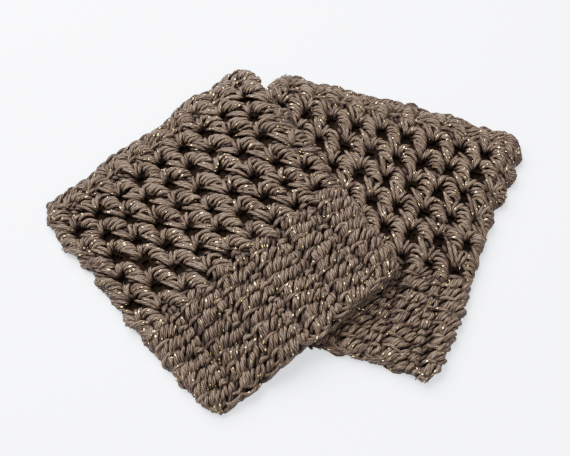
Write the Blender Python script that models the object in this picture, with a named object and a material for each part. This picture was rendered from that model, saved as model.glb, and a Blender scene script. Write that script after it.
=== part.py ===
"""Pair of crocheted boot cuffs, laid flat on a table, the front one partly over the back one.

Each cuff is a tube pressed flat, so it has two layers, a narrow slit between them and a round fold at
each side. A band of ribs, worked sideways and joined into a ring, carries an open-stitch leg, and a
round of edging closes the leg's top. The gaps of the leg are cut through both of its layers.

Lengths are in millimetres until add_piece() turns them into metres. On a cuff, "along" runs from the
left fold to the right one, "up" runs from the hem to the edging, and both are 0 in the cuff's middle.
"""
import bpy
import numpy as np
from mathutils.geometry import delaunay_2d_cdt

MM = 0.001

# One layer of crochet, and the tube that it makes when it is pressed flat
WALL = 4.5
SLIT = 0.8
THICK = 2 * WALL + SLIT
FOLD = THICK / 2
SEAM = 0.3

# A cuff, laid flat
HEIGHT = 168.3
TOP_WIDTH = 165.0
HEM_WIDTH = 139.0
HEM = -HEIGHT / 2
BAND_TOP = -24.0
EDGING_FOOT = 73.0
TOP = HEIGHT / 2

# The ribs of the band: two rows of stitches each, one raised and one set back
RIB_PITCH = 25.2
RIB_RISE = 1.5
RIB_SHAPE = ((-7.0, 0.0), (-4.6, 0.75), (0.0, 1.0), (4.6, 0.75), (7.0, 0.0), (12.6, 0.3))
BAND_SECTIONS = 8
UNDER_STATIONS = 14
FOLD_ROOM = 1.0

# The rounds of the leg, their gaps, and the bundle of stitches raised to the upper right of each gap
ROUND_FOOT = -18.0
ROUND_HEIGHT = 16.0
GAP_PITCH = 16.45
GAP_COUNT = 6
GAP_TABLE_REACH = 60.0
GAP_LENGTH = 6.8
GAP_HEIGHT = 5.4
GAP_LEAN = np.radians(-40)
GAP_SHIFT = (0.6, -1.2)
UNDER_SHIFT = (-3.1, 2.0)
GAP_SIDES = 6
BUNDLE_RISE = 1.6
BUNDLE_ENDS = ((4.6, 5.2), (9.6, 0.8))
BUNDLE_ROOM = 1.2
BORDER_STATIONS = 15
JOIN = 1e-5

# The edging: a rope-like round with shallow scallops
EDGING_SHAPE = ((0.0, 0.0), (0.55, 1.2), (1.0, 0.0))
EDGING_STATIONS = 27
SCALLOP_PITCH = 16.4
SCALLOP_DEPTH = 0.8
SIDE_LOBE = 0.8

# The front cuff climbs onto the back one over this length
CLIMB = 38.0
CLIMB_END = 1.0
LIFT = THICK + BUNDLE_RISE + SEAM

# Each cuff's place, and how far its outline swells or pulls in from the straight-sided shape
CUFFS = {
    "front": {
        "centre": (-39.02, -4.67),
        "turn": 0.666,
        "first_rib": -14.3,
        # a round's gap next to the middle, along; its gaps' height at the left, middle and right
        "gaps": (
            (-5.0, -18.0, -18.3, -16.5),
            (-1.2, -1.6, -1.6, -1.2),
            (2.8, 15.0, 13.8, 12.8),
            (6.9, 28.4, 30.3, 32.4),
            (11.2, 41.5, 47.6, 46.3),
            (15.8, 56.0, 61.2, 62.2),
        ),
        # up, left fold out, right fold out
        "sides": (
            (-84, -2.4, 0.0),
            (-72, -0.1, 0.3),
            (-60, 0.9, 0.5),
            (-34, 1.2, 0.5),
            (-8, 0.8, 0.0),
            (8, -0.8, 0.0),
            (24, -1.9, 0.0),
            (32, -4.2, 0.0),
            (40, -2.7, 0.0),
            (50, -1.2, 0.0),
            (62, -1.6, -0.3),
            (70, -3.8, -0.6),
            (84, -8.6, -2.4),
        ),
        # along, edging up
        "top": (
            (-82, -4.0),
            (-70, -1.6),
            (-52, -1.2),
            (-42, -1.5),
            (-20, 1.3),
            (-2, 0.0),
            (12, -1.5),
            (20, -0.3),
            (30, 3.2),
            (40, 4.0),
            (46, 3.2),
            (52, 0.0),
            (60, 1.5),
            (69, 2.2),
            (76, -0.5),
            (82, -4.0),
        ),
        # along, hem down
        "hem": (
            (-74, -8.0),
            (-68, -5.5),
            (-60, -1.9),
            (-52, 1.1),
            (-36, 2.2),
            (-16, 3.2),
            (0, 2.6),
            (30, 1.6),
            (66, 0.0),
            (74, -2.5),
        ),
    },
    "back": {
        "centre": (45.58, 7.03),
        "turn": -0.306,
        "first_rib": 17.4,
        "gaps": (
            (-2.0, -17.5, -18.0, -17.0),
            (-0.5, -2.0, -2.0, 2.0),
            (3.4, 13.0, 12.8, 15.8),
            (8.0, 30.0, 28.2, 34.0),
            (10.4, 42.0, 44.0, 49.8),
            (13.4, 57.5, 59.8, 64.0),
        ),
        "sides": (
            (-84, 0.0, -3.3),
            (-76, 0.0, -0.8),
            (-64, 0.0, 0.4),
            (-48, 0.0, 1.6),
            (-32, 0.0, 1.3),
            (-12, 0.0, -0.4),
            (20, 0.0, -0.9),
            (34, 0.0, -0.4),
            (46, 0.0, 1.6),
            (56, 0.0, 3.0),
            (74, -2.0, 1.8),
            (84, -6.0, -1.2),
        ),
        "top": (
            (-82, -11.0),
            (-76, -7.0),
            (-69, -1.8),
            (-54, -3.3),
            (-42, -1.3),
            (-28, -1.8),
            (-12, -1.4),
            (-2, -0.2),
            (5, -0.6),
            (12, 1.0),
            (20, -1.2),
            (30, 0.8),
            (38, 1.0),
            (44, -0.4),
            (52, -3.4),
            (60, -1.8),
            (70, -0.6),
            (76, -1.7),
            (82, -5.0),
        ),
        "hem": (
            (-74, -2.0),
            (-20, -0.8),
            (0, 0.2),
            (12, -1.3),
            (20, -2.6),
            (40, -1.8),
            (50, -0.4),
            (64, -0.4),
            (74, -5.0),
        ),
    },
}

YARN_COLOUR = (0.138, 0.098, 0.076, 1.0)


def column(table, index):
    return [row[index] for row in table]


def read_table(table, place, index=1):
    """A table's value at a place, on straight runs between its rows."""
    return np.interp(place, column(table, 0), column(table, index))


def half_width(cuff, side, up):
    """Distance from the cuff's middle to its left (side -1) or right (side 1) fold at a height."""
    straight = (HEM_WIDTH + (TOP_WIDTH - HEM_WIDTH) * (up - HEM) / HEIGHT) / 2
    swell = read_table(cuff["sides"], up, 1 if side < 0 else 2)
    lobe = -SIDE_LOBE * np.cos(2 * np.pi * (up - ROUND_FOOT) / ROUND_HEIGHT)
    return straight + swell + lobe


def flat_reach(cuff, along, up):
    """How far a layer lies flat on the side that a point is on, before the fold starts."""
    left = half_width(cuff, -1, up)
    right = half_width(cuff, 1, up)
    return np.where(along < 0, left, right) - FOLD


def on_layer(cuff, over, along, up, rise):
    """Points on a layer, in the cuff's own place.

    A point goes straight along the flat stretch, and then round the fold at the fold's radius. rise moves
    it out from the layer's outer surface, and -WALL gives the plain inside. over is 1 for the layer that
    shows and -1 for the one under it, whose outer surface lies on the table.
    """
    along, up, rise = np.broadcast_arrays(*(np.asarray(v, float) for v in (along, up, rise)))
    flat = flat_reach(cuff, along, up)
    turn = np.clip((np.abs(along) - flat) / FOLD, 0, np.pi / 2)
    radius = FOLD + rise
    across = np.sign(along) * (np.minimum(np.abs(along), flat) + radius * np.sin(turn))
    return np.stack([across, up, FOLD + over * radius * np.cos(turn)], axis=-1)


def fold_end(cuff, side, up, clearance):
    """The along value at which a layer ends on its fold, short of the fold's middle by a clearance."""
    return side * (half_width(cuff, side, up) - FOLD + FOLD * np.pi / 2 - clearance)


def turned(points, cuff):
    """Points of a cuff turned and moved to where it lies on the table."""
    c, s = np.cos(cuff["turn"]), np.sin(cuff["turn"])
    x = points[..., 0] * c - points[..., 1] * s + cuff["centre"][0]
    y = points[..., 0] * s + points[..., 1] * c + cuff["centre"][1]
    return np.stack([x, y, points[..., 2]], axis=-1)


def outline_corners(cuff):
    ups = (HEM, HEM, TOP, TOP)
    sides = (-1, 1, 1, -1)
    corners = [(s * half_width(cuff, s, u), u, 0.0) for s, u in zip(sides, ups)]
    return turned(np.array(corners), cuff)[:, :2]


def distance_outside(points, corners):
    """Distance from points to a convex outline with corners listed anticlockwise, 0 inside it."""
    nearest = np.full(len(points), np.inf)
    inside = np.full(len(points), True)
    for start, end in zip(corners, np.roll(corners, -1, axis=0)):
        edge = end - start
        offset = points - start
        inside &= edge[0] * offset[:, 1] - edge[1] * offset[:, 0] >= 0
        share = np.clip(offset @ edge / (edge @ edge), 0, 1)
        nearest = np.minimum(nearest, np.linalg.norm(offset - share[:, None] * edge, axis=1))
    return np.where(inside, 0.0, nearest)


def lifted(points):
    """The front cuff's points raised by one smooth step, from the table onto the back cuff."""
    away = distance_outside(points[:, :2], outline_corners(CUFFS["back"]))
    share = np.clip((CLIMB - away) / (CLIMB - CLIMB_END), 0, 1)
    raised = points.copy()
    raised[:, 2] += LIFT * share**2 * (3 - 2 * share)
    return raised


def yarn_material(name):
    material = bpy.data.materials.new(name)
    material.use_nodes = True
    principled = material.node_tree.nodes["Principled BSDF"]
    principled.inputs["Base Color"].default_value = YARN_COLOUR
    principled.inputs["Roughness"].default_value = 0.85
    principled.inputs["Metallic"].default_value = 0.0
    return material


def add_piece(name, cuff_name, outer, inner, faces):
    """One closed solid: an outer skin, an inner skin of the same faces turned round, and walls between.

    A wall closes each edge that only one face has, which is the piece's rim and the rim of each gap.
    """
    cuff = CUFFS[cuff_name]
    points = turned(np.concatenate([outer, inner]), cuff)
    if cuff_name == "front":
        points = lifted(points)
    count = len(outer)
    edges = {(a, b) for face in faces for a, b in zip(face, face[1:] + face[:1])}
    rims = sorted(edge for edge in edges if edge[::-1] not in edges)
    walls = [(b, a, a + count, b + count) for a, b in rims]
    insides = [tuple(i + count for i in reversed(face)) for face in faces]
    mesh = bpy.data.meshes.new(name)
    mesh.from_pydata((points * MM).tolist(), [], list(faces) + insides + walls)
    mesh.validate()
    mesh.shade_smooth()
    mesh.set_sharp_from_angle(angle=np.radians(50))
    piece = bpy.data.objects.new(name, mesh)
    piece.data.materials.append(yarn_material(name))
    bpy.context.scene.collection.objects.link(piece)


def tube_faces(stations, sections):
    faces = []
    for row in range(sections - 1):
        for i in range(stations):
            j = (i + 1) % stations
            low, high = row * stations, (row + 1) * stations
            faces.append((low + i, low + j, high + j, high + i))
    return faces


def rib_rise(cuff, along):
    """Height of the band's ribs at a place along the layer that shows, as straight runs between points."""
    offset = (along - cuff["first_rib"] + RIB_PITCH / 2) % RIB_PITCH - RIB_PITCH / 2
    last_place, last_height = RIB_SHAPE[-1]
    shape = ((last_place - RIB_PITCH, last_height), *RIB_SHAPE)
    return RIB_RISE * read_table(shape, offset)


def fold_stations(cuff, up, clearance=0.0):
    """The along values of a layer's two folds: their outer ends, their middles and where they start."""
    stations = {}
    for side in (-1, 1):
        start = side * (half_width(cuff, side, up) - FOLD)
        end = fold_end(cuff, side, up, clearance)
        stations[side] = (end, (start + end) / 2, start)
    return stations


def add_band(cuff_name):
    """The ribbed ring. Its ribs rise from the layer that shows, and the one under it rests flat."""
    cuff = CUFFS[cuff_name]
    top = BAND_TOP - SEAM / 2
    levels = np.linspace(HEM, top, BAND_SECTIONS)
    narrowest = min(half_width(cuff, side, up) for side in (-1, 1) for up in levels) - FOLD
    most_ribs = int(narrowest / RIB_PITCH) + 2
    ribs = [cuff["first_rib"] + RIB_PITCH * n for n in range(-most_ribs, most_ribs + 1)]
    places = sorted(rib + place for rib in ribs for place, _ in RIB_SHAPE)
    flat_places = [place for place in places if abs(place) < narrowest - FOLD_ROOM]
    under_places = np.linspace(narrowest, -narrowest, UNDER_STATIONS).tolist()
    outer, inner = [], []
    for level in levels:
        folds = fold_stations(cuff, level)
        over = np.array([*folds[-1], *flat_places, *folds[1][::-1]])
        under = np.array([folds[1][1], *under_places, folds[-1][1]])
        for layer, along in ((1, over), (-1, under)):
            rise = rib_rise(cuff, along) if layer == 1 else np.zeros(len(along))
            if layer == 1:
                rise[[0, -1]] = 0
            hem_drop = read_table(cuff["hem"], along) * (top - level) / (top - HEM)
            outer.append(on_layer(cuff, layer, along, level - hem_drop, rise))
            inner.append(on_layer(cuff, layer, along, level - hem_drop, -WALL))
    stations = len(outer[0]) + len(outer[1])
    faces = tube_faces(stations, BAND_SECTIONS)
    add_piece(f"{cuff_name}_band", cuff_name, np.concatenate(outer), np.concatenate(inner), faces)


def gap_places(cuff, over):
    """Middles of a layer's gaps, each round on a shallow arch through its three heights.

    The layer under has the same rounds turned over, so its stitches slant the other way seen from above.
    It has slipped a little, so that its gaps lie under the stitches of the layer that shows.
    """
    shift = np.array(GAP_SHIFT) + (np.array(UNDER_SHIFT) if over == -1 else 0)
    places = []
    for first, left, middle, right in cuff["gaps"]:
        for n in range(-GAP_COUNT, GAP_COUNT + 1):
            along = first + GAP_PITCH * n + shift[0]
            share = along / GAP_TABLE_REACH
            up = middle + (right - left) / 2 * share + ((left + right) / 2 - middle) * share**2 + shift[1]
            if abs(along) < flat_reach(cuff, over * along, up) - GAP_LENGTH / 2:
                places.append((over * along, up))
    return places


def gap_rim(along, up, over):
    """A slanted oval of a few points."""
    angle = 2 * np.pi * np.arange(GAP_SIDES) / GAP_SIDES
    x, y = GAP_LENGTH / 2 * np.cos(angle), GAP_HEIGHT / 2 * np.sin(angle)
    lean = over * GAP_LEAN
    return [
        (along + a * np.cos(lean) - b * np.sin(lean), up + a * np.sin(lean) + b * np.cos(lean))
        for a, b in zip(x, y)
    ]


def leg_border(cuff, levels):
    """The outline of one leg layer laid flat, anticlockwise, as (along, up) points."""
    ends = {side: [fold_end(cuff, side, up, SEAM / 2) for up in levels] for side in (-1, 1)}
    shares = np.linspace(-1, 1, BORDER_STATIONS)[1:-1]
    low = [(share * abs(ends[1 if share > 0 else -1][0]), levels[0]) for share in shares]
    high = [(share * abs(ends[1 if share > 0 else -1][-1]), levels[-1]) for share in shares]
    return low + list(zip(ends[1], levels)) + high[::-1] + list(zip(ends[-1], levels))[::-1]


def add_leg_layer(cuff_name, over):
    """One layer of the open-stitch leg, its gaps cut through, between the band and the edging.

    The layer is drawn flat, as a border, a rim round each gap and loose points for the bundles and the
    folds. These points are joined by triangles, and each is then carried onto the layer. The bundles of
    the layer under stay level, so that it rests flat.
    """
    cuff = CUFFS[cuff_name]
    bottom, top = BAND_TOP + SEAM / 2, EDGING_FOOT - SEAM / 2
    half_round = ROUND_HEIGHT / 2
    levels = [bottom, *np.arange(ROUND_FOOT, top - half_round / 2, half_round), top]
    border = leg_border(cuff, levels)
    points = list(border)
    gap_of_point = [None] * len(border)
    rises = [0.0] * len(border)
    rims = []
    gaps = gap_places(cuff, over)
    for gap, (along, up) in enumerate(gaps):
        first = len(points)
        points += gap_rim(along, up, over)
        gap_of_point += [gap] * GAP_SIDES
        rises += [0.0] * GAP_SIDES
        rims += [(first + k, first + (k + 1) % GAP_SIDES) for k in range(GAP_SIDES)]
        for right_by, up_by in BUNDLE_ENDS:
            place = (along + over * right_by, up + up_by)
            on_flat = abs(place[0]) < flat_reach(cuff, *place)
            if on_flat and place[1] < top - BUNDLE_ROOM:
                points.append(place)
                gap_of_point.append(None)
                rises.append(BUNDLE_RISE if over == 1 else 0.0)
    for up in np.arange(ROUND_FOOT, top - half_round / 4, half_round / 2):
        for _, middle, start in fold_stations(cuff, up, SEAM / 2).values():
            points += [(middle, up), (start, up)]
            gap_of_point += [None] * 2
            rises += [0.0] * 2
    whole = [list(range(len(border)))]
    plan, _, triangles, sources, _, _ = delaunay_2d_cdt(points, rims, whole, 1, JOIN, True)
    source = [min(merged) for merged in sources]
    plan = np.array([tuple(point) for point in plan])

    def in_a_gap(triangle):
        gaps_met = {gap_of_point[source[i]] for i in triangle}
        return len(gaps_met) == 1 and None not in gaps_met

    faces = [tuple(triangle) for triangle in triangles if not in_a_gap(triangle)]
    if over == -1:
        faces = [face[::-1] for face in faces]
    outer = on_layer(cuff, over, plan[:, 0], plan[:, 1], [rises[i] for i in source])
    inner = on_layer(cuff, over, plan[:, 0], plan[:, 1], -WALL)
    name = f"{cuff_name}_leg_{'over' if over == 1 else 'under'}"
    add_piece(name, cuff_name, outer, inner, faces)
    print(name, "has", len(gaps), "gaps")


def add_edging(cuff_name):
    """The round along the leg's top: plump in the middle, with scallops along its free edge."""
    cuff = CUFFS[cuff_name]
    shares = np.linspace(-1, 1, EDGING_STATIONS)
    foot = EDGING_FOOT + SEAM / 2
    outer, inner = [], []
    for part, rise in EDGING_SHAPE:
        for layer, chosen in ((1, shares), (-1, shares[1:-1][::-1])):
            side_ends = [abs(fold_end(cuff, side, TOP, 0.0)) for side in (-1, 1)]
            along = chosen * np.where(chosen < 0, *side_ends)
            scallop = SCALLOP_DEPTH * np.cos(2 * np.pi * along / SCALLOP_PITCH)
            top = TOP + read_table(cuff["top"], along) + scallop
            up = foot + (top - foot) * part
            side_ends = [abs(fold_end(cuff, side, up, 0.0)) for side in (-1, 1)]
            along = chosen * np.where(chosen < 0, *side_ends)
            on_fold = np.abs(along) > flat_reach(cuff, along, up)
            rise_here = np.where(on_fold | (layer == -1), 0.0, rise)
            outer.append(on_layer(cuff, layer, along, up, rise_here))
            inner.append(on_layer(cuff, layer, along, up, -WALL))
    stations = len(outer[0]) + len(outer[1])
    faces = tube_faces(stations, len(EDGING_SHAPE))
    add_piece(f"{cuff_name}_edging", cuff_name, np.concatenate(outer), np.concatenate(inner), faces)


def main():
    for leftover in list(bpy.data.objects):
        bpy.data.objects.remove(leftover)
    for cuff_name in CUFFS:
        add_band(cuff_name)
        add_leg_layer(cuff_name, 1)
        add_leg_layer(cuff_name, -1)
        add_edging(cuff_name)


main()
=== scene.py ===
# %% [markdown]
# A pair of crocheted boot cuffs
#
# Crochet is one long yarn looped through itself. What the eye reads is the yarn: plump strands that come
# up out of the cloth, lean, and dive under the next ones. A bump map on a smooth sheet can't show that,
# so this scene lays real strands. It draws each stitch once, as a few short curves, and repeats it along
# the rounds of each cuff. Short strands set deep fill the chinks, and a thin dark cloth under them all
# is painted shade: it stands for the yarn that is out of sight, in the shadow of the strands.

import bpy
import numpy as np
from mathutils import Matrix


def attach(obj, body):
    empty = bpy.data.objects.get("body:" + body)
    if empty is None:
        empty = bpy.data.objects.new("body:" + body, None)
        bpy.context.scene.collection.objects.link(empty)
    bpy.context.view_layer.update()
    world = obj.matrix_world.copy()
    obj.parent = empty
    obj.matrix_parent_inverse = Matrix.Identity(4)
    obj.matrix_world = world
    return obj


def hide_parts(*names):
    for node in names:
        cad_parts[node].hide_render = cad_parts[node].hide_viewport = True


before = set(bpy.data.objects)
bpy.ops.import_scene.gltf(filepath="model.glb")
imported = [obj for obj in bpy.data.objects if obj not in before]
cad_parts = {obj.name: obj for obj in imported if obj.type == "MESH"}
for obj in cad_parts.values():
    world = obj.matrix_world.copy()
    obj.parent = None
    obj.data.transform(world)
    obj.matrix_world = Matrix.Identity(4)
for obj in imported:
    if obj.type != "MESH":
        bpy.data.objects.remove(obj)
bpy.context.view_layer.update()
MM = 0.001
print("nodes:", sorted(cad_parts))

# %% [markdown]
# The camera comes first, so that each later step can be checked against the photograph. It stands in
# front of the pair and looks down at 69 degrees. The focal length in pixels was found from the
# perspective of the two outlines.

# %% Camera
PHOTO_WIDTH = 570
FOCAL_PIXELS = 1000
SENSOR = 36.0
CAMERA_HEIGHT_ANGLE = np.radians(68.907)
CAMERA_DISTANCE = 615.548 * MM
CAMERA_AIM = np.array([-0.32, 3.23, 0.0]) * MM


def add_camera():
    """A camera on the line that rises from its aim point at the height angle, towards the viewer (-Y)."""
    data = bpy.data.cameras.new("camera")
    data.sensor_width = SENSOR
    data.lens = SENSOR * FOCAL_PIXELS / PHOTO_WIDTH
    camera = bpy.data.objects.new("camera", data)
    back = np.array([0.0, -np.cos(CAMERA_HEIGHT_ANGLE), np.sin(CAMERA_HEIGHT_ANGLE)])
    camera.location = CAMERA_AIM + back * CAMERA_DISTANCE
    camera.rotation_euler = (np.pi / 2 - CAMERA_HEIGHT_ANGLE, 0.0, 0.0)
    bpy.context.scene.collection.objects.link(camera)
    bpy.context.scene.camera = camera
    print(f"camera lens {data.lens:.1f} mm at {CAMERA_DISTANCE:.3f} m")


add_camera()

# %% [markdown]
# A cuff is a tube pressed flat. Its pattern is drawn on a layer as if the tube were unrolled: "along" is
# 0 in the layer's middle, "up" runs from the hem to the edging, and "rise" is the height over the tube's
# outer surface. These sizes are the part's own, in millimetres.

# %% Sizes of a cuff
THICK = 9.8
FOLD = THICK / 2
HEIGHT = 168.3
TOP_WIDTH = 165.0
HEM_WIDTH = 139.0
HEM = -HEIGHT / 2
TOP = HEIGHT / 2
BAND_TOP = -24.0
EDGING_FOOT = 73.0
ROUND_FOOT = -18.0
ROUND_HEIGHT = 16.0
SIDE_LOBE = 0.8
GAP_PITCH = 16.45
GAP_TABLE_REACH = 60.0
GAP_SHIFT = (0.6, -1.2)
UNDER_SHIFT = (-3.1, 2.0)
RIB_PITCH = 25.2
CLIMB = 38.0
CLIMB_END = 1.0
LIFT = 11.7

CUFFS = {
    "front": {
        "centre": (-39.02, -4.67),
        "turn": 0.666,
        "first_rib": -14.3,
        # a round's gap next to the middle, along; its gaps' height at the left, middle and right
        "gaps": (
            (-5.0, -18.0, -18.3, -16.5),
            (-1.2, -1.6, -1.6, -1.2),
            (2.8, 15.0, 13.8, 12.8),
            (6.9, 28.4, 30.3, 32.4),
            (11.2, 41.5, 47.6, 46.3),
            (15.8, 56.0, 61.2, 62.2),
        ),
        # up, left fold out, right fold out
        "sides": (
            (-84, -2.4, 0.0),
            (-72, -0.1, 0.3),
            (-60, 0.9, 0.5),
            (-34, 1.2, 0.5),
            (-8, 0.8, 0.0),
            (8, -0.8, 0.0),
            (24, -1.9, 0.0),
            (32, -4.2, 0.0),
            (40, -2.7, 0.0),
            (50, -1.2, 0.0),
            (62, -1.6, -0.3),
            (70, -3.8, -0.6),
            (84, -8.6, -2.4),
        ),
        # along, edging up
        "top": (
            (-82, -4.0),
            (-70, -1.6),
            (-52, -1.2),
            (-42, -1.5),
            (-20, 1.3),
            (-2, 0.0),
            (12, -1.5),
            (20, -0.3),
            (30, 3.2),
            (40, 4.0),
            (46, 3.2),
            (52, 0.0),
            (60, 1.5),
            (69, 2.2),
            (76, -0.5),
            (82, -4.0),
        ),
        # along, hem down
        "hem": (
            (-74, -8.0),
            (-68, -5.5),
            (-60, -1.9),
            (-52, 1.1),
            (-36, 2.2),
            (-16, 3.2),
            (0, 2.6),
            (30, 1.6),
            (66, 0.0),
            (74, -2.5),
        ),
    },
    "back": {
        "centre": (45.58, 7.03),
        "turn": -0.306,
        "first_rib": 17.4,
        "gaps": (
            (-2.0, -17.5, -18.0, -17.0),
            (-0.5, -2.0, -2.0, 2.0),
            (3.4, 13.0, 12.8, 15.8),
            (8.0, 30.0, 28.2, 34.0),
            (10.4, 42.0, 44.0, 49.8),
            (13.4, 57.5, 59.8, 64.0),
        ),
        "sides": (
            (-84, 0.0, -3.3),
            (-76, 0.0, -0.8),
            (-64, 0.0, 0.4),
            (-48, 0.0, 1.6),
            (-32, 0.0, 1.3),
            (-12, 0.0, -0.4),
            (20, 0.0, -0.9),
            (34, 0.0, -0.4),
            (46, 0.0, 1.6),
            (56, 0.0, 3.0),
            (74, -2.0, 1.8),
            (84, -6.0, -1.2),
        ),
        "top": (
            (-82, -11.0),
            (-76, -7.0),
            (-69, -1.8),
            (-54, -3.3),
            (-42, -1.3),
            (-28, -1.8),
            (-12, -1.4),
            (-2, -0.2),
            (5, -0.6),
            (12, 1.0),
            (20, -1.2),
            (30, 0.8),
            (38, 1.0),
            (44, -0.4),
            (52, -3.4),
            (60, -1.8),
            (70, -0.6),
            (76, -1.7),
            (82, -5.0),
        ),
        "hem": (
            (-74, -2.0),
            (-20, -0.8),
            (0, 0.2),
            (12, -1.3),
            (20, -2.6),
            (40, -1.8),
            (50, -0.4),
            (64, -0.4),
            (74, -5.0),
        ),
    },
}


def read_table(table, place, index=1):
    """A table's value at each place, on straight runs between its rows."""
    return np.interp(place, [row[0] for row in table], [row[index] for row in table])


def half_width(cuff, right, up):
    """Half the straight-sided width at a height, plus the outline's swell and the rounds' shallow lobes."""
    straight = (HEM_WIDTH + (TOP_WIDTH - HEM_WIDTH) * (up - HEM) / HEIGHT) / 2
    swell = np.where(right, read_table(cuff["sides"], up, 2), read_table(cuff["sides"], up, 1))
    return straight + swell - SIDE_LOBE * np.cos(2 * np.pi * (up - ROUND_FOOT) / ROUND_HEIGHT)


def fold_reach(cuff, right, up):
    """Distance from the middle of a layer to the middle of a fold: a flat stretch and a quarter circle."""
    return half_width(cuff, right, up) - FOLD + FOLD * np.pi / 2


def on_layer(cuff, layer, along, up, room):
    """True at a place on a layer, or past its fold by no more than the room."""
    return abs(along) <= fold_reach(cuff, along * layer > 0, up) + room


def tube_point(cuff, layer, along, up, rise):
    """Points on the pressed tube and the directions out of it, both in the cuff's own place.

    A layer is 1 for the one that shows and -1 for the one under it, which is the same pattern turned
    over. Past a fold, along runs back on the other layer. A point lies on the flat stretch, or on a
    circle round the fold's middle with the fold's radius plus the rise.
    """
    along, up, rise = np.broadcast_arrays(along, up, rise)
    side = np.where(along > 0, 1.0, -1.0)
    reach = fold_reach(cuff, side * layer > 0, up)
    past = np.abs(along) > reach
    inward = np.where(past, 2 * reach - np.abs(along), np.abs(along))
    flat = half_width(cuff, side * layer > 0, up) - FOLD
    turn = np.clip((inward - flat) / FOLD, 0, np.pi / 2)
    over = np.where(past, -1.0, 1.0) * layer
    across = side * layer
    out = np.stack([across * np.sin(turn), np.zeros_like(turn), over * np.cos(turn)], axis=-1)
    middle = np.stack([across * np.minimum(inward, flat), up, np.full_like(turn, FOLD)], axis=-1)
    return middle + out * (FOLD + rise)[..., None], out


# %% [markdown]
# The last step for every piece is the same: turn the cuff, move it to its place, and lift the front one
# where it climbs onto the back one. The lift is one smooth step in the distance to the back cuff's
# outline, so the front cuff lies flat on the table on one side and on the back cuff on the other.

# %% Lay a cuff on the table
def turned(points, cuff):
    """Points turned by the cuff's angle about +Z and moved to its centre."""
    c, s = np.cos(cuff["turn"]), np.sin(cuff["turn"])
    turn = np.array([[c, s, 0.0], [-s, c, 0.0], [0.0, 0.0, 1.0]])
    return points @ turn + np.array([*cuff["centre"], 0.0])


def outline_distance(points):
    """Distance in plan from points to the back cuff's four-cornered outline, 0 inside it."""
    cuff = CUFFS["back"]
    ups = np.array([HEM, HEM, TOP, TOP])
    right = np.array([False, True, True, False])
    along = half_width(cuff, right, ups) * np.where(right, 1, -1)
    corners = turned(np.stack([along, ups, 0 * ups], axis=-1), cuff)[:, :2]
    nearest = np.full(len(points), np.inf)
    inside = np.full(len(points), True)
    for start, end in zip(corners, np.roll(corners, -1, axis=0)):
        edge = end - start
        offset = points[:, :2] - start
        inside &= edge[0] * offset[:, 1] - edge[1] * offset[:, 0] >= 0
        share = np.clip(offset @ edge / (edge @ edge), 0, 1)
        nearest = np.minimum(nearest, np.linalg.norm(offset - share[:, None] * edge, axis=1))
    return np.where(inside, 0.0, nearest)


def laid(points, cuff_name):
    """Points of a cuff laid on the table, none of them under it, in metres."""
    flat = points.reshape(-1, 3).copy()
    flat[:, 2] = np.maximum(flat[:, 2], 0.1)
    flat = turned(flat, CUFFS[cuff_name])
    if cuff_name == "front":
        share = np.clip((CLIMB - outline_distance(flat)) / (CLIMB - CLIMB_END), 0, 1)
        flat[:, 2] += LIFT * share**2 * (3 - 2 * share)
    return flat.reshape(points.shape) * MM


# %% [markdown]
# A mesh is made from arrays: the points, and faces that all have the same number of corners, in groups.
# foreach_set copies an array into Blender in one go, which matters with nearly a million triangles.

# %% Mesh from arrays
def mesh_piece(name, points, face_groups, uv=None, **by_point):
    """One object from points and groups of equal faces. uv is by face corner; more values are by point."""
    mesh = bpy.data.meshes.new(name)
    corners = np.concatenate([group.reshape(-1) for group in face_groups])
    sizes = np.concatenate([np.full(len(group), group.shape[1]) for group in face_groups])
    mesh.vertices.add(len(points))
    mesh.vertices.foreach_set("co", points.astype(np.float32).reshape(-1))
    mesh.loops.add(len(corners))
    mesh.loops.foreach_set("vertex_index", corners.astype(np.int32))
    mesh.polygons.add(len(sizes))
    starts = np.concatenate([[0], np.cumsum(sizes)[:-1]])
    mesh.polygons.foreach_set("loop_start", starts.astype(np.int32))
    if uv is not None:
        layer = mesh.uv_layers.new(name="strand")
        layer.data.foreach_set("uv", uv.astype(np.float32).reshape(-1))
    for key, values in by_point.items():
        attribute = mesh.attributes.new(key, "FLOAT", "POINT")
        attribute.data.foreach_set("value", values.astype(np.float32))
    mesh.update()
    mesh.validate()
    mesh.shade_smooth()
    piece = bpy.data.objects.new(name, mesh)
    bpy.context.scene.collection.objects.link(piece)
    return piece


# %% [markdown]
# One strand of yarn is a round tube along a smooth curve. The section turns as it goes along, and the UV
# with it, so a line of one v runs round the strand the way a ply does. A strand is plump in the middle
# and thinner at its two ends, which dive into the cloth.

# %% Yarn strands
YARN_RADIUS = 1.17
PLIES = 5
PLY_TURN = 0.34
END_THINNING = 0.5
PLUMP_POWER = 0.6
TIP_LENGTH = 0.4


def curve_weights(count, steps):
    """Catmull-Rom weights: each of steps + 1 points is a mix of the four control points about it."""
    place = np.linspace(0, count - 1, steps + 1)
    first = np.minimum(place.astype(int), count - 2)
    f = (place - first)[:, None]
    mix = np.hstack([-f + 2 * f**2 - f**3, 2 - 5 * f**2 + 3 * f**3, f + 4 * f**2 - 3 * f**3, f**3 - f**2])
    weights = np.zeros((steps + 1, count))
    for k in range(4):
        column = np.clip(first + k - 1, 0, count - 1)
        np.add.at(weights, (np.arange(steps + 1), column), mix[:, k] / 2)
    return weights


def unit(vectors):
    """Each vector over its own length."""
    return vectors / np.maximum(np.linalg.norm(vectors, axis=-1, keepdims=True), 1e-9)


def strand_frames(paths, out):
    """The directions along, beside and out of each strand at each of its points."""
    along = unit(np.gradient(paths, axis=1))
    beside = unit(np.cross(out, along))
    return along, beside, np.cross(along, beside)


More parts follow.
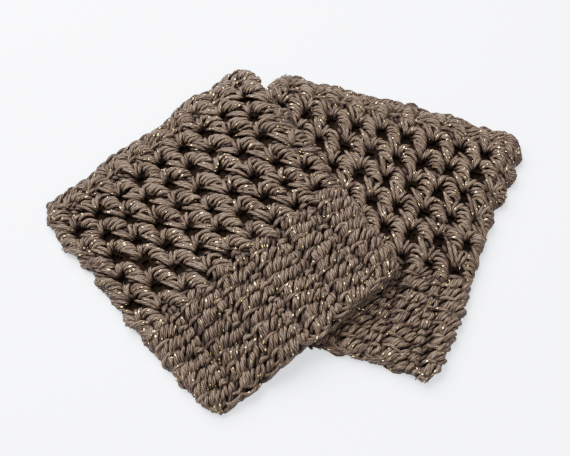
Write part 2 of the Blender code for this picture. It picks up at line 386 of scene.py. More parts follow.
def tube_faces(arc, sides):
    """Quads along each tube and triangles to its two tips, each with its corners' UVs (arc, share round)."""
    strands, rings = arc.shape
    ring, side = np.meshgrid(np.arange(rings - 1), np.arange(sides), indexing="ij")
    after = (side + 1) % sides
    low, high = ring * sides, (ring + 1) * sides
    first_tip, last_tip = np.full(sides, rings * sides), np.full(sides, rings * sides + 1)
    k, last = np.arange(sides), (rings - 1) * sides
    quads = np.stack([low + side, low + after, high + after, high + side], axis=-1).reshape(-1, 4)
    fans = np.concatenate(
        [
            np.stack([(k + 1) % sides, k, first_tip], axis=-1),
            np.stack([last + k, last + (k + 1) % sides, last_tip], axis=-1),
        ]
    )
    quad_ring = np.stack([ring, ring, ring + 1, ring + 1], axis=-1).reshape(-1, 4)
    quad_round = np.stack([side, side + 1, side + 1, side], axis=-1).reshape(-1, 4) / sides
    fan_ring = np.repeat([[0, 0, 0], [rings - 1] * 3], sides, axis=0)
    fan_round = np.concatenate(
        [np.stack([k + 1, k, k + 0.5], axis=-1), np.stack([k, k + 1, k + 0.5], axis=-1)]
    ) / sides
    step = (np.arange(strands) * (rings * sides + 2))[:, None, None]
    faces, uvs = [], []
    for group, rows, around in ((quads, quad_ring, quad_round), (fans, fan_ring, fan_round)):
        faces.append((group + step).reshape(-1, group.shape[1]))
        uvs.append(np.stack([arc[:, rows], np.broadcast_to(around, (strands, *around.shape))], axis=-1))
    return faces, uvs


def sweep(paths, out, rise, radius, sides):
    """Tubes along paths: centre + radius * (cos(a) * beside + sin(a) * out), with a turning on the way.

    The height of each point over the layer is its path's rise plus the part of the radius that goes out.
    """
    strands, rings, _ = paths.shape
    along, beside, outward = strand_frames(paths, out)
    lengths = np.linalg.norm(np.diff(paths, axis=1), axis=2)
    arc = np.concatenate([np.zeros((strands, 1)), np.cumsum(lengths, axis=1)], axis=1)
    angle = 2 * np.pi * np.arange(sides) / sides - PLY_TURN * arc[..., None]
    plump = END_THINNING + (1 - END_THINNING) * np.sin(np.pi * np.linspace(0, 1, rings)) ** PLUMP_POWER
    reach = (radius[:, None] * plump)[..., None]
    ring_points = (
        paths[:, :, None]
        + (reach * np.cos(angle))[..., None] * beside[:, :, None]
        + (reach * np.sin(angle))[..., None] * outward[:, :, None]
    )
    ahead = along * TIP_LENGTH
    tips = np.stack([paths[:, 0] - ahead[:, 0], paths[:, -1] + ahead[:, -1]], axis=1)
    points = np.concatenate([ring_points.reshape(strands, -1, 3), tips], axis=1)
    height = (rise[..., None] + reach * np.sin(angle)).reshape(strands, -1)
    height = np.concatenate([height, rise[:, [0, -1]]], axis=1)
    return points, height, *tube_faces(arc, sides)


# %% [markdown]
# A stitch is a short list of strands, each drawn by four or five points: along, up and rise, in
# millimetres from the stitch's own middle. The open stitch of the leg is a fan over each gap. Two long
# strands come down from the left to the gap's top, and two short ones rise from there to the right, so
# that they make a V. Beside the gap a stack of short plump strands curls down over the next round's V. The
# rib's strokes lean to the right, with small knots set back between two ribs. The hem's loops curl down to
# a lip, and the edging's long strands slant over two threads that run along the edge.

# %% The stitches
# a row is a strand, and each of its points is (along, up, rise)
OPEN_STITCH = (
    ((-9.3, 15.4, -2.6), (-8.2, 13.5, -0.8), (-5.9, 9.3, 0.6), (-3.4, 5.2, -0.1), (-1.9, 2.2, -2.8)),
    ((-6.5, 14.4, -2.6), (-5.4, 12.4, -0.8), (-3.5, 8.8, 0.6), (-1.5, 5.0, -0.2), (-0.6, 2.4, -2.8)),
    ((-0.8, 3.2, -2.8), (-0.3, 5.3, -0.5), (0.5, 7.8, 0.1), (1.3, 9.9, -0.3), (2.0, 11.2, -2.2)),
    ((0.6, 3.3, -2.8), (1.5, 5.2, -0.3), (2.8, 7.4, 0.4), (4.4, 9.1, 0.1), (5.9, 10.0, -2.0)),
    ((2.4, 6.4, -2.6), (4.2, 7.5, -0.1), (6.8, 7.3, 0.6), (9.3, 5.8, 0.2), (11.0, 3.8, -2.0)),
    ((3.2, 4.2, -2.6), (5.0, 4.9, 0.2), (7.9, 4.4, 0.9), (11.0, 2.3, 0.5), (12.8, 0.2, -2.0)),
    ((3.6, 2.0, -2.6), (5.6, 2.4, 0.2), (8.8, 1.7, 0.9), (11.9, -0.6, 0.5), (13.7, -2.9, -2.0)),
    ((4.4, -0.3, -2.6), (6.4, 0.0, 0.0), (9.4, -0.9, 0.7), (12.4, -3.2, 0.3), (14.1, -5.4, -2.2)),
    ((6.2, -2.4, -2.8), (7.9, -2.3, -0.5), (10.1, -3.3, 0.1), (12.1, -5.2, -0.3), (13.3, -6.9, -2.6)),
)
RIB_STITCH = (
    ((-7.2, -3.2, -2.6), (-6.0, -1.8, -1.2), (-4.9, 0.0, -0.3), (-3.8, 1.9, -1.1), (-3.0, 3.4, -2.6)),
    ((-5.4, -3.8, -2.6), (-4.3, -2.2, -0.9), (-2.7, 0.2, 0.3), (-1.1, 2.4, -0.8), (-0.1, 3.6, -2.6)),
    ((-2.9, -4.0, -2.6), (-1.7, -2.3, -0.8), (0.1, 0.1, 0.4), (1.9, 2.2, -0.8), (3.2, 3.4, -2.6)),
    ((-0.3, -4.0, -2.6), (1.1, -2.4, -0.8), (3.0, -0.3, 0.4), (4.9, 1.6, -0.8), (6.2, 2.8, -2.6)),
    ((2.3, -4.0, -2.6), (3.6, -2.8, -0.9), (5.5, -1.0, 0.2), (7.3, 0.6, -0.9), (8.4, 1.7, -2.6)),
    ((4.4, -4.5, -2.6), (5.6, -3.7, -1.2), (7.2, -2.5, -0.4), (8.6, -1.3, -1.2), (9.4, -0.4, -2.8)),
    ((-9.2, 2.8, -2.8), (-7.0, 3.9, -1.2), (-4.0, 4.5, -1.1), (-0.8, 4.3, -1.5), (3.0, 4.0, -2.8)),
    ((8.8, -3.8, -2.6), (9.7, -2.2, -1.2), (10.6, 0.0, -0.9), (11.5, 1.8, -2.4)),
    ((10.7, -3.8, -2.6), (11.6, -2.4, -1.1), (12.7, -0.6, -0.9), (13.8, 0.9, -2.4)),
    ((9.2, 1.6, -2.6), (10.4, 3.0, -1.1), (12.0, 3.3, -0.9), (13.8, 2.6, -2.6)),
    ((12.9, -4.1, -2.6), (13.9, -2.8, -1.3), (14.8, -0.8, -1.1), (14.9, 1.2, -2.8)),
    ((10.9, 4.9, -2.4), (12.0, 3.8, -1.4), (13.6, 3.2, -1.4), (15.2, 3.4, -2.8)),
)
HEM_STITCH = (
    ((-6.4, 5.4, -3.2), (-5.0, 2.0, -1.2), (-1.2, 0.4, -1.4), (3.2, 0.9, -1.2), (6.0, 4.6, -3.2)),
    ((-1.6, 5.6, -3.2), (0.6, 3.2, -1.0), (4.0, 2.0, -0.9), (7.4, 3.4, -1.4), (9.0, 6.2, -3.2)),
    ((-7.0, 1.6, -4.6), (-3.0, 0.7, -4.1), (2.0, 0.8, -4.2), (6.0, 1.4, -4.5)),
    ((-6.0, 0.9, -2.9), (-2.0, 0.5, -2.4), (3.0, 0.6, -2.5), (7.0, 1.1, -2.9)),
)
EDGE_STITCH = (
    ((-5.2, -1.6, -4.5), (-2.0, -0.9, -4.1), (2.0, -0.9, -4.1), (5.2, -1.6, -4.5)),
    ((-5.4, -2.2, -2.6), (-2.6, -1.0, -1.5), (1.4, -0.6, -1.4), (5.2, -1.6, -2.6)),
    ((-5.6, -7.6, -3.0), (-3.2, -5.6, -0.8), (0.4, -3.2, -0.2), (3.6, -1.6, -0.9), (5.2, -1.2, -3.0)),
    ((-3.6, -9.0, -3.0), (-1.2, -7.2, -0.8), (2.4, -4.9, -0.2), (5.4, -3.4, -0.8), (7.0, -2.8, -3.0)),
    ((-4.8, -2.4, -3.0), (-2.0, -1.4, -1.8), (2.0, -1.4, -1.8), (4.8, -2.2, -3.0)),
    ((-2.8, -11.0, -3.0), (-0.6, -9.2, -1.0), (2.8, -7.0, -0.5), (5.8, -5.7, -1.0), (7.8, -5.0, -3.0)),
    ((-6.0, -11.6, -3.0), (-3.6, -10.6, -1.3), (0.0, -9.8, -1.0), (3.4, -9.6, -1.4), (5.6, -9.8, -3.0)),
)

# %% [markdown]
# Each stitch is placed by its own middle, and the round that it is on bends a little, so its strands
# follow the round's line. No two stitches of real crochet are alike: each strand gets a small push, its
# own thickness and its own shade, from one seeded source, so that the result is the same every time.

# %% Lay the strands of a stitch
RANDOM = np.random.default_rng(7)
# how far things stray along, up and in rise
POINT_PUSH = (0.171, 0.171, 0.11)
STRAND_PUSH = (0.38, 0.38, 0.132)
STITCH_SHIFT = (0.45, 0.45, 0.15)
STITCH_LEAN = 0.09
RADIUS_SPREAD = 0.07
# where a strand's UV starts: along its noise, in millimetres, and round its section, in turns
UV_SPREAD = (60.0, 1.0)
# added to the height that the painted shade is made from, so that what faces outwards isn't painted dark; the
# hem's lip gets less than the top edge
UNDER_LIGHT = 1.2
TOP_LIGHT = 0.5
HEM_LIGHT = -0.7


def strays(size):
    """Seeded normal values, none past two deviations."""
    return RANDOM.normal(size=size).clip(-2, 2)


class Strands:
    """Paths of one piece, sorted by how many control points they have."""

    def __init__(self):
        self.groups = {}

    def add(self, control, radius=1.0, loose=1.0):
        """One strand: each of its points strays by itself, and all of them stray together."""
        push = RANDOM.normal(size=control.shape) * POINT_PUSH
        push = push + RANDOM.normal(size=3) * STRAND_PUSH
        self.groups.setdefault(len(control), []).append((control + push * loose, radius))

    def add_stitch(self, stitch, carry, radius=1.0, loose=1.0):
        """A stitch's strands with one small shift and turn in common, each carried to its place."""
        shift = strays(3) * STITCH_SHIFT * loose
        lean = RANDOM.normal() * STITCH_LEAN * loose
        turn = np.array([[np.cos(lean), np.sin(lean), 0], [-np.sin(lean), np.cos(lean), 0], [0, 0, 1]])
        for control in stitch:
            self.add(carry(control @ turn + shift), radius, loose)

    def build(self, name, cuff_name, layer, steps, sides):
        """All the strands as one mesh: smooth paths on the tube, swept and laid on the table.

        Each point's height over the nearest outer surface goes with it: the layer's own, or the lip at
        the hem or the top edge. The yarn material paints shade from it: the deeper, the darker.
        """
        cuff = CUFFS[cuff_name]
        points, faces, uvs, tones, heights, first = [], ([], []), ([], []), [], [], 0
        for count, items in sorted(self.groups.items()):
            control = np.stack([item[0] for item in items])
            radius = np.array([item[1] for item in items]) * YARN_RADIUS
            radius = radius * (1 + RADIUS_SPREAD * strays(len(items)))
            fine = np.einsum("sc,nck->nsk", curve_weights(count, steps), control)
            paths, out = tube_point(cuff, layer, fine[..., 0], fine[..., 1], fine[..., 2])
            swept, height, groups, group_uvs = sweep(paths, out, fine[..., 2], radius, sides)
            start = RANDOM.random((len(items), 1, 1, 2)) * UV_SPREAD
            for k in range(2):
                faces[k].append(groups[k] + first)
                uvs[k].append((group_uvs[k] + start).reshape(-1, 2))
            tones.append(np.repeat(strays(len(items)), swept.shape[1]))
            x, y = swept[..., 0], swept[..., 1]
            past_hem = HEM - read_table(cuff["hem"], x) - y
            past_top = y - TOP - read_table(cuff["top"], x)
            # painted shade comes from this height; the lifts keep the under layer and the lips from being
            # painted dark
            height = np.maximum(height + UNDER_LIGHT * (layer == -1), past_top + TOP_LIGHT)
            height = np.maximum(height, past_hem + HEM_LIGHT)
            heights.append(height.reshape(-1))
            points.append(laid(swept.reshape(-1, 3), cuff_name))
            first += len(points[-1])
        groups = [np.concatenate(group) for group in faces]
        uv = np.concatenate([*uvs[0], *uvs[1]])
        triangles = sum(len(group) * (group.shape[1] - 2) for group in groups)
        strands = sum(len(items) for items in self.groups.values())
        print(f"{name} has {strands} strands, {triangles} triangles")
        tone, height = np.concatenate(tones), np.concatenate(heights)
        return mesh_piece(name, np.concatenate(points), groups, uv, tone=tone, height=height)


# %% [markdown]
# The leg has six rounds of open stitches and a close one above them. A round's heights at the left, the
# middle and the right give a shallow arch, the same one that places the gaps in the part. The rounds
# were read off the photograph, one by one, which a fixed spacing would miss by up to 3 mm.

# %% The leg's rounds
# stitches go this far past the folds of the layer that shows, and end this far short of the other's
STITCH_ROOM = 4.0
STITCHES_ASIDE = 7
# the close round over the last open one: its first stitch further along, and its three heights further up
CLOSE_ALONG = 4.1
CLOSE_UP = np.array([15.2, 14.2, 13.2])
CLOSE_STEP = 9.0
EDGE_ROOM = 2.2


def round_height(row, along):
    """Height of a round: a parabola through its heights at the left, the middle and the right."""
    _, left, middle, right = row
    share = along / GAP_TABLE_REACH
    return middle + (right - left) / 2 * share + ((left + right) / 2 - middle) * share**2


def leg_rounds(cuff, layer):
    """The rounds from the band up: the part's six, and the close one above them. The under layer slips."""
    rows = list(cuff["gaps"])
    first, *heights = rows[-1]
    rows.append((first + CLOSE_ALONG - GAP_PITCH, *(heights + CLOSE_UP)))
    slip = np.array([UNDER_SHIFT[0], *[UNDER_SHIFT[1]] * 3]) * (layer == -1)
    return [tuple(row + slip) for row in np.array(rows)]


def on_round(rows, index, cuff, layer, control, along, step_up, step_down):
    """A strand carried to its stitch's place on a round. It ends short of the leg's top edge."""
    place = along + control[:, 0]
    scale = np.where(control[:, 1] > 0, step_up, step_down) / ROUND_HEIGHT
    up = round_height(rows[index], place) + control[:, 1] * scale
    edge = TOP + read_table(cuff["top"], layer * place) - EDGE_ROOM
    return np.stack([place, np.minimum(up, edge), control[:, 2]], axis=-1)


def leg_strands(cuff_name, layer):
    """The open stitches of a layer, each stretched to reach the rounds above and below its own."""
    cuff = CUFFS[cuff_name]
    rows = leg_rounds(cuff, layer)
    strands = Strands()
    for index, row in enumerate(rows):
        for n in range(-STITCHES_ASIDE, STITCHES_ASIDE + 1):
            along = row[0] + GAP_PITCH * n
            up = round_height(row, along)
            if not on_layer(cuff, layer, along, min(up, TOP), layer * STITCH_ROOM):
                continue
            if index == len(rows) - 1:
                step_up = CLOSE_STEP
            else:
                step_up = round_height(rows[index + 1], along) - up
            step_down = up - round_height(rows[max(index - 1, 0)], along) if index else ROUND_HEIGHT
            strands.add_stitch(
                OPEN_STITCH,
                lambda control: on_round(rows, index, cuff, layer, control, along, step_up, step_down),
            )
    return strands


# %% [markdown]
# The band is ribbing worked sideways: its rows run up and down the cuff, in a raised column of strokes
# and a set-back one of knots. One stroke group is a stitch. Row ends make a lumpy lip along the hem.

# %% The band's rows
STITCH_FOOT = -79.6
STITCH_PITCH = 8.2
STITCH_COUNT = 8
RIBS_ASIDE = 4
RIB_ROOM = 1.5
RIB_LIFT = 0.7
LAST_RIB_SINK = 1.2
RIB_PLUMP = 1.1
RIB_LOOSE = 1.2
HEM_STITCH_PLACES = (-3.0, RIB_PITCH / 2)
HEM_STITCH_UP = -0.8
HEM_ROOM = 2.0


def band_strands(cuff_name, layer):
    """Rows of stitches worked sideways: a raised column and a set-back one for each rib."""
    cuff = CUFFS[cuff_name]
    strands = Strands()
    for n in range(-RIBS_ASIDE, RIBS_ASIDE + 1):
        rib = cuff["first_rib"] + RIB_PITCH * n
        for row in range(STITCH_COUNT):
            up = STITCH_FOOT + STITCH_PITCH * row
            drop = read_table(cuff["hem"], rib) * (BAND_TOP - up) / (BAND_TOP - HEM)
            lift = RIB_LIFT - (LAST_RIB_SINK if row == STITCH_COUNT - 1 else 0)
            chosen = [
                strand for strand in RIB_STITCH if on_layer(cuff, layer, rib + strand[2][0], up, RIB_ROOM)
            ]
            strands.add_stitch(chosen, lambda control: control + (rib, up - drop, lift), RIB_PLUMP, RIB_LOOSE)
        for place in HEM_STITCH_PLACES:
            along = rib + place
            if on_layer(cuff, layer, along, HEM, HEM_ROOM):
                up = HEM - read_table(cuff["hem"], along) + HEM_STITCH_UP
                strands.add_stitch(HEM_STITCH, lambda control: control + (along, up, 0.0))
    return strands


# %% [markdown]
# Two things are left: the deep strands that fill the chinks, and the edging. A deep strand is one shape
# on an even grid, left out over the gaps. The edging follows the leg's top edge, and its long slanted
# strands overlap like the turns of a rope.

# %% Deep strands and the edging
FILL_RISE = -2.0
FILL_DIVE = 1.2
FILL_PLUMP = 1.1
FILL_ROOM = 1.0
FILLS_ASIDE = 30
# near a fold the deep strands are longer and less deep
FOLD_ZONE = 10.0
FOLD_FILL_RISE = -1.1
FOLD_FILL_LENGTH = 1.8
EDGE_PITCH = 8.2
EDGE_START = 2.0
EDGES_ASIDE = 10
EDGE_STITCH_UP = -0.5
EDGE_FOLD_ROOM = 2.0


def fill_strands(cuff_name, layer, low, high, half, pitch, room):
    """Short strands set deep, over the whole of a layer but for its gaps and the room about them."""
    cuff = CUFFS[cuff_name]
    strands = Strands()
    for up in np.arange(low, high, pitch):
        for n in range(-FILLS_ASIDE, FILLS_ASIDE + 1):
            along = pitch * n
            if not on_layer(cuff, layer, along, up, FILL_ROOM):
                continue
            if in_gap(cuff, layer, np.array(along), np.array(up), room):
                continue
            at_fold = not on_layer(cuff, layer, along, up, -FOLD_ZONE)
            shares = np.array([[-1], [-0.4], [0.4], [1]]) * (FOLD_FILL_LENGTH if at_fold else 1)
            rise = (FOLD_FILL_RISE if at_fold else FILL_RISE) - FILL_DIVE * np.array([[1], [0], [0], [1]])
            strands.add(np.hstack([shares * half + (along, up), rise]), FILL_PLUMP)
    return strands


def edging_strands(cuff_name, layer):
    """The rope-like round: its strands follow the leg's top edge."""
    cuff = CUFFS[cuff_name]
    strands = Strands()
    for n in range(-EDGES_ASIDE, EDGES_ASIDE + 1):
        along = EDGE_PITCH * n + EDGE_START
        if not on_layer(cuff, layer, along, TOP, EDGE_FOLD_ROOM):
            continue
        for strand in EDGE_STITCH:
            control = strand + np.array([along, TOP + EDGE_STITCH_UP, 0.0])
            control[:, 1] += read_table(cuff["top"], layer * control[:, 0])
            strands.add(control)
    return strands


# %% [markdown]
# The dark cloth under the strands is painted shade, a near-black stand-in for yarn in shadow. It is a
# thin shell: the piece's own surface, drawn as a grid, an outer skin 2.9 mm and an inner one 4.1 mm
# below the tops of the stitches. A leg's shell has its gaps cut out.
# In the photograph no light comes through both layers of a cuff, so the under layer keeps its cloth
# where the camera looks through a gap of the layer over it.

# %% Thin cloth under the strands
SHELL_OUTER = -2.9
SHELL_INNER = -4.1
GRID = 2.2
COLUMNS = 74
GAP_LENGTH = 6.8
GAP_HEIGHT = 5.4
GAP_LEAN = np.radians(-40)
SIGHT_STEP = 1.6
SIGHT_ROOM = 1.3
HEM_INSET = 2.0
TOP_INSET = 0.8


def in_gap(cuff, layer, along, up, room=1.0):
    """True at points inside a gap: an oval at each gap's middle, leaning to the lower right.

    A point is inside where (x / half its length) squared + (y / half its height) squared < room squared.
    """
    inside = np.zeros(along.shape, bool)
    for row in leg_rounds(cuff, layer)[:-1]:
        first = row[0] + GAP_SHIFT[0]
        middle = first + GAP_PITCH * np.round((along - first) / GAP_PITCH)
        a, b = along - middle, up - round_height(row, middle) - GAP_SHIFT[1]
        x = a * np.cos(GAP_LEAN) + b * np.sin(GAP_LEAN)
        y = b * np.cos(GAP_LEAN) - a * np.sin(GAP_LEAN)
        flat = fold_reach(cuff, middle * layer > 0, up) - FOLD * np.pi / 2
        near = (x / GAP_LENGTH * 2) ** 2 + (y / GAP_HEIGHT * 2) ** 2 < room**2
        inside |= near & (np.abs(middle) < flat - GAP_LENGTH / 2)
    return inside


def seen_through(cuff, along, up):
    """True at points of the under layer that the camera sees through a gap of the layer over it.

    The pattern is turned over, so along changes sign. The camera looks down at a slant, so what shows
    through a gap lies a small step further from the viewer than the gap.
    """
    away = SIGHT_STEP * np.array([np.sin(cuff["turn"]), np.cos(cuff["turn"])])
    return in_gap(cuff, 1, -along - away[0], up - away[1], SIGHT_ROOM)


def border(cuff, level, along):
    """A line across a cuff: just inside its hem or top edge, which follow their tables, or else level."""
    if level == HEM:
        return HEM - read_table(cuff["hem"], along) + HEM_INSET
    if level == TOP:
        return TOP + read_table(cuff["top"], along) - TOP_INSET
    return np.full(np.shape(along), level)


def shell(name, cuff_name, layers, bottom, top):
    """A cloth between two borders. layers is 1 or -1 for one layer, or 0 for the whole ring."""
    cuff = CUFFS[cuff_name]
    lowest, highest = float(border(cuff, bottom, 0.0)), float(border(cuff, top, 0.0))
    rows = max(int((highest - lowest) / GRID), 3)
    share = np.linspace(0, 1, rows + 1)[:, None]
    across = np.linspace(-1, 1, COLUMNS)
    points, faces, first = [], [], 0
    for layer in [layers] if layers else [1, -1]:
        right = across * layer > 0
        along = across * fold_reach(cuff, right, (lowest + highest) / 2)
        low, high = border(cuff, bottom, layer * along), border(cuff, top, layer * along)
        up = low + (high - low) * share
        along = across * fold_reach(cuff, right, up)
        skins = [tube_point(cuff, layer, along, up, rise)[0] for rise in (SHELL_OUTER, SHELL_INNER)]
        count = up.size
        row, column = np.meshgrid(np.arange(up.shape[0] - 1), np.arange(up.shape[1] - 1), indexing="ij")
        corner = row * up.shape[1] + column
        quads = np.stack([corner, corner + 1, corner + up.shape[1] + 1, corner + up.shape[1]], axis=-1)
        quads = quads.reshape(-1, 4)
        if layers:
            middle = [value.reshape(-1)[quads].mean(axis=1) for value in (along, up)]
            kept = ~in_gap(cuff, layer, *middle)
            if layer == -1:
                kept |= seen_through(cuff, *middle)
            quads = quads[kept]
        edges = np.concatenate([quads[:, [k, (k + 1) % 4]] for k in range(4)])
        # an edge is on the rim where no face has it the other way round
        rim = edges[~np.isin(edges @ (count, 1), edges @ (1, count))]
        walls = np.stack([rim[:, 1], rim[:, 0], rim[:, 0] + count, rim[:, 1] + count], axis=-1)
        faces.append(np.concatenate([quads, quads[:, ::-1] + count, walls]) + first)
        points.append(np.concatenate([skin.reshape(-1, 3) for skin in skins]))
        first += 2 * count
    return mesh_piece(name, laid(np.concatenate(points), cuff_name), [np.concatenate(faces)])


# %% [markdown]
# The yarn is matte, a brown grey, with a gold thread spun in. The groove between two plies is painted
# darker than their tops, as painted shade found from the strand's own UV: across the strand, the plies
# repeat. Yarn that lies deep is painted darker still, a painted shade set by each point's height over the
# cloth, since lamps alone leave it too pale. The gold thread is one narrow line along the strand, broken
# by noise, and it gleams where the strand's twist turns it up.

# %% Materials
YARN_DARK = (22, 14, 10)
YARN_LIGHT = (72, 60, 49)
GOLD = (245, 222, 130)
# near-black for the cloth under the strands: painted shade, standing for yarn in shadow
SHADE = (11, 7, 5)
TABLE = (231, 235, 244)
SKY = (252, 252, 255)
# heights over the cloth where the painted shade makes the yarn all dark, and where it leaves it all lit
PAINTED_DARK_HEIGHT = -1.75
PAINTED_LIT_HEIGHT = 1.1
# what the fibres' noise, the strand's own tone and the ply tops add to the shade; the ply grooves are painted
# shade
FIBRE_SHARE, FIBRE_START = 2.8, -1.3
TONE_SHARE = 0.1
PLY_SHARE = 0.6
# the gold thread shows where the cosine round the strand, and the noise along it, are above these
GOLD_COSINE = 0.973
GOLD_NOISE = 0.59


def linear(red, green, blue):
    """The linear colour for an sRGB one of 0 to 255."""
    c = np.array([red, green, blue]) / 255
    return (*np.where(c <= 0.04045, c / 12.92, ((c + 0.055) / 1.055) ** 2.4), 1.0)


def add_node(material, kind, inputs=None, **settings):
    """A shader node with its settings made, its inputs set to constants or linked to other sockets."""
    node = material.node_tree.nodes.new(kind)
    for key, value in settings.items():
        setattr(node, key, value)
    for key, value in (inputs or {}).items():
        if isinstance(value, bpy.types.NodeSocket):
            material.node_tree.links.new(value, node.inputs[key])
        else:
            node.inputs[key].default_value = value
    return node


def new_material(name):
    """A material and its surface shader."""
    material = bpy.data.materials.new(name)
    material.use_nodes = True
    return material, material.node_tree.nodes["Principled BSDF"]


def math_node(material, operation, *values):
    """The result of one operation: values are numbers or other nodes' outputs."""
    return add_node(material, "ShaderNodeMath", dict(enumerate(values)), operation=operation).outputs[0]


def colour_mix(material, factor, low, high):
    """A colour between two. The node's sockets 6 and 7, and its output 2, are the ones for colours."""
    node = add_node(material, "ShaderNodeMix", {0: factor, 6: low, 7: high}, data_type="RGBA")
    return node.outputs[2]


def noise(material, place, scale):
    """Noise at a place on the strand, times a scale along it and one round it."""
    vector = add_node(material, "ShaderNodeVectorMath", {0: place, 1: scale}, operation="MULTIPLY")
    return add_node(material, "ShaderNodeTexNoise", {"Vector": vector.outputs[0], "Scale": 1.0}).outputs[0]


def cosine(material, value, turns):
    """The cosine of a value in turns: cos(2 pi * turns * value)."""
    return math_node(material, "COSINE", math_node(material, "MULTIPLY", value, 2 * np.pi * turns))


def map_range(material, value, start, end, low=0.0, high=1.0, **settings):
    """A value mapped from start..end to low..high, and held there."""
    inputs = {0: value, 1: start, 2: end, 3: low, 4: high}
    return add_node(material, "ShaderNodeMapRange", inputs, **settings).outputs[0]


def yarn_material():
    """Acrylic yarn spun from plies, with a gold metallic thread in it."""
    material, skin = new_material("spun yarn with gold thread")
    place = add_node(material, "ShaderNodeUVMap", uv_map="strand").outputs[0]
    around = add_node(material, "ShaderNodeSeparateXYZ", {0: place}).outputs[1]
    tone = add_node(material, "ShaderNodeAttribute", attribute_name="tone").outputs["Fac"]
    height = add_node(material, "ShaderNodeAttribute", attribute_name="height").outputs["Fac"]
    # painted shade: the grooves between plies are darker than the ply tops; the same wave also makes the bump
    ply = map_range(material, cosine(material, around, PLIES), -0.5, 1.0)
    fibres = noise(material, place, (0.35, 10.0, 1.0))
    # painted shade: the deeper a point lies, the darker the yarn is painted, for the shadow of the strands
    # over it
    painted_lit = map_range(material, height, PAINTED_DARK_HEIGHT, PAINTED_LIT_HEIGHT, interpolation_type="SMOOTHSTEP")
    shade = math_node(material, "MULTIPLY_ADD", fibres, FIBRE_SHARE, FIBRE_START)
    shade = math_node(material, "MULTIPLY_ADD", tone, TONE_SHARE, shade)
    shade = math_node(material, "MULTIPLY_ADD", ply, PLY_SHARE, shade)
    shade = math_node(material, "MULTIPLY", shade, painted_lit)
    colour = colour_mix(material, shade, linear(*YARN_DARK), linear(*YARN_LIGHT))
    thread = math_node(material, "GREATER_THAN", cosine(material, around, 1), GOLD_COSINE)
    glints = math_node(material, "GREATER_THAN", noise(material, place, (0.5, 0.0, 0.0)), GOLD_NOISE)
    gold = math_node(material, "MULTIPLY", thread, glints)
    relief = math_node(material, "MULTIPLY_ADD", fibres, 0.5, ply)
    bump = add_node(material, "ShaderNodeBump", {"Height": relief, "Strength": 0.7, "Distance": 0.2 * MM})
    links = material.node_tree.links
    links.new(colour_mix(material, gold, colour, linear(*GOLD)), skin.inputs["Base Color"])
    links.new(gold, skin.inputs["Metallic"])
    links.new(map_range(material, gold, 0.0, 1.0, 0.75, 0.35), skin.inputs["Roughness"])
    links.new(bump.outputs[0], skin.inputs["Normal"])
    skin.inputs["Specular IOR Level"].default_value = 0.1
    return material


def plain_material(name, colour, roughness):
    """One even colour."""
    material, skin = new_material(name)
    skin.inputs["Base Color"].default_value = linear(*colour)
    skin.inputs["Roughness"].default_value = roughness
    skin.inputs["Specular IOR Level"].default_value = 0.0
    return material


YARN = yarn_material()
# the cloth under the strands is painted shade: near-black, for the yarn in shadow
PAINTED_SHADE_CLOTH = plain_material("yarn in shade", SHADE, 0.95)


# %% [markdown]
# Now the pieces are made, two cuffs of four nodes each. A shell stands for its node, and the strands are
# named as its pieces.

# %% Make the cuffs
# piece, what lays its strands, layer, steps along a strand, sides round it
YARN_PIECES = (
    ("leg_over_yarn", leg_strands, 1, 9, 8),
    ("leg_under_yarn", leg_strands, -1, 5, 6),
    ("band_over_yarn", band_strands, 1, 9, 8),
    ("band_under_yarn", band_strands, -1, 5, 6),
    ("edging_over_yarn", edging_strands, 1, 9, 8),
    ("edging_under_yarn", edging_strands, -1, 5, 6),
)
# piece, layer, from and to up, half a strand (along, up), pitch, room about a gap, steps, sides
FILL_PIECES = (
    ("leg_over_fill", 1, BAND_TOP + 1, TOP - 4, (-1.8, 2.0), 3.6, 1.8, 4, 5),
    ("leg_under_fill", -1, BAND_TOP + 1, TOP - 4, (-1.8, 2.0), 3.6, 0.75, 3, 4),
    ("band_fill", 1, HEM + 3, BAND_TOP, (2.6, 3.0), 3.9, 1.0, 3, 5),
)
# node, its layer or 0 for both, from and to up, yarn
CLOTH_PIECES = (
    ("band", 0, HEM, BAND_TOP, ("band_over_yarn", "band_under_yarn", "band_fill")),
    ("leg_over", 1, BAND_TOP, EDGING_FOOT, ("leg_over_yarn", "leg_over_fill")),
    ("leg_under", -1, BAND_TOP, EDGING_FOOT, ("leg_under_yarn", "leg_under_fill")),
    ("edging", 0, EDGING_FOOT, TOP, ("edging_over_yarn", "edging_under_yarn")),
)


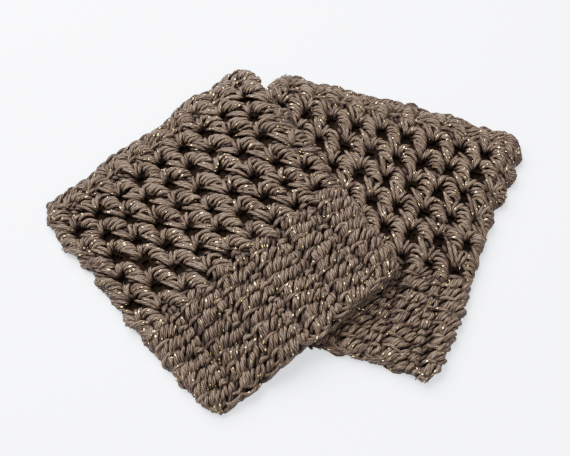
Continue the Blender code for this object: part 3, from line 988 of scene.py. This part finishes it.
def add_cuff(cuff_name):
    """All the pieces of one cuff, each riding on the part and telling which node it stands for."""
    yarn = {}
    for piece, lay, layer, steps, sides in YARN_PIECES:
        strands = lay(cuff_name, layer)
        yarn[piece] = strands.build(f"{cuff_name}_{piece}", cuff_name, layer, steps, sides)
    for piece, layer, low, high, half, pitch, room, steps, sides in FILL_PIECES:
        strands = fill_strands(cuff_name, layer, low, high, half, pitch, room)
        yarn[piece] = strands.build(f"{cuff_name}_{piece}", cuff_name, layer, steps, sides)
    for part, layers, low, high, yarn_names in CLOTH_PIECES:
        node = f"{cuff_name}_{part}"
        cloth = shell(f"{node}_cloth", cuff_name, layers, low, high)
        cloth.data.materials.append(PAINTED_SHADE_CLOTH)
        strands = [yarn[piece] for piece in yarn_names]
        for piece in strands:
            piece.data.materials.append(YARN)
        for piece in [cloth, *strands]:
            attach(piece, "root")
        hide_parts(node)


for cuff_name in CUFFS:
    add_cuff(cuff_name)

# %% [markdown]
# The set is a plain pale floor and soft light. A large lamp stands behind and above, well to the left,
# so the shadows fall to the front and the right, and the pale sky fills them.

# %% Floor and light
def add_floor(size):
    """A square floor about the origin."""
    half = size / 2
    points = np.array([(-half, -half, 0), (half, -half, 0), (half, half, 0), (-half, half, 0)])
    floor = mesh_piece("floor", points, [np.array([[0, 1, 2, 3]])])
    floor.data.materials.append(plain_material("white table", TABLE, 0.8))


def add_lamp(name, place, size, watts):
    """A square lamp that faces the origin."""
    data = bpy.data.lights.new(name, "AREA")
    data.size = size
    data.energy = watts
    lamp = bpy.data.objects.new(name, data)
    to_lamp = unit(np.array(place))
    side = unit(np.cross([0.0, 1.0, 0.0], to_lamp))
    up = np.cross(to_lamp, side)
    turn = np.eye(4)
    turn[:3, 0], turn[:3, 1], turn[:3, 2], turn[:3, 3] = side, up, to_lamp, place
    lamp.matrix_world = Matrix(turn.tolist())
    bpy.context.scene.collection.objects.link(lamp)


def add_sky(strength):
    """An even pale light from all round."""
    world = bpy.data.worlds.new("sky")
    world.use_nodes = True
    background = world.node_tree.nodes["Background"]
    background.inputs["Color"].default_value = linear(*SKY)
    background.inputs["Strength"].default_value = strength
    bpy.context.scene.world = world


add_floor(3.0)
add_lamp("key", (-0.4, 0.5, 0.85), 1.0, 138)
add_lamp("fill", (0.3, -0.5, 0.9), 0.8, 20)
add_sky(1.2)
